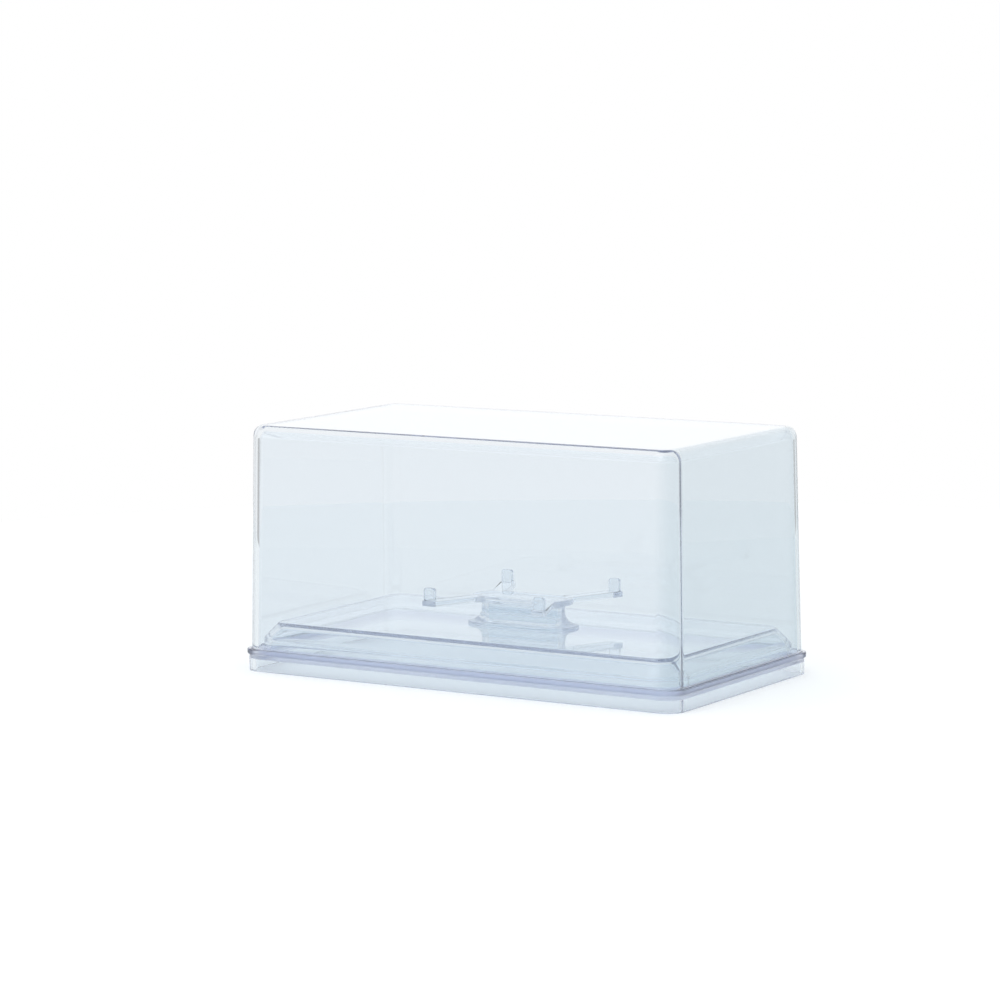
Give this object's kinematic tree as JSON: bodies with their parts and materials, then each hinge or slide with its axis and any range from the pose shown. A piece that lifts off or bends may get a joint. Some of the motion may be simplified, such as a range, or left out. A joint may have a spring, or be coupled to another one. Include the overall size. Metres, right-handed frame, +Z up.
{
  "type": "display case",
  "caption": "Clear moulded display case for a small scale model: raised base tray, lift-off cover with a flanged foot, and a loose riser cradle with upturned tabs.",
  "frame": {"origin": "middle of the base's footprint, on the surface that the case stands on", "axes": "+X along the long side, +Z up, the way the cover lifts"},
  "size_m": [0.1088, 0.0592, 0.0533],
  "materials": {
    "clear_styrene": "clear moulded, polished"
  },
  "bodies": {
    "base": {"base": "clear_styrene"},
    "cover": {"cover": "clear_styrene"},
    "cradle": {"cradle": "clear_styrene"}
  },
  "joints": [
    {"name": "cover_lift", "type": "slide", "parent": "base", "child": "cover", "axis": [0, 0, 1], "range_m": [0, 0.06]},
    {"name": "cradle_lift", "type": "slide", "parent": "base", "child": "cradle", "axis": [0, 0, 1], "range_m": [0, 0.03]}
  ]
}
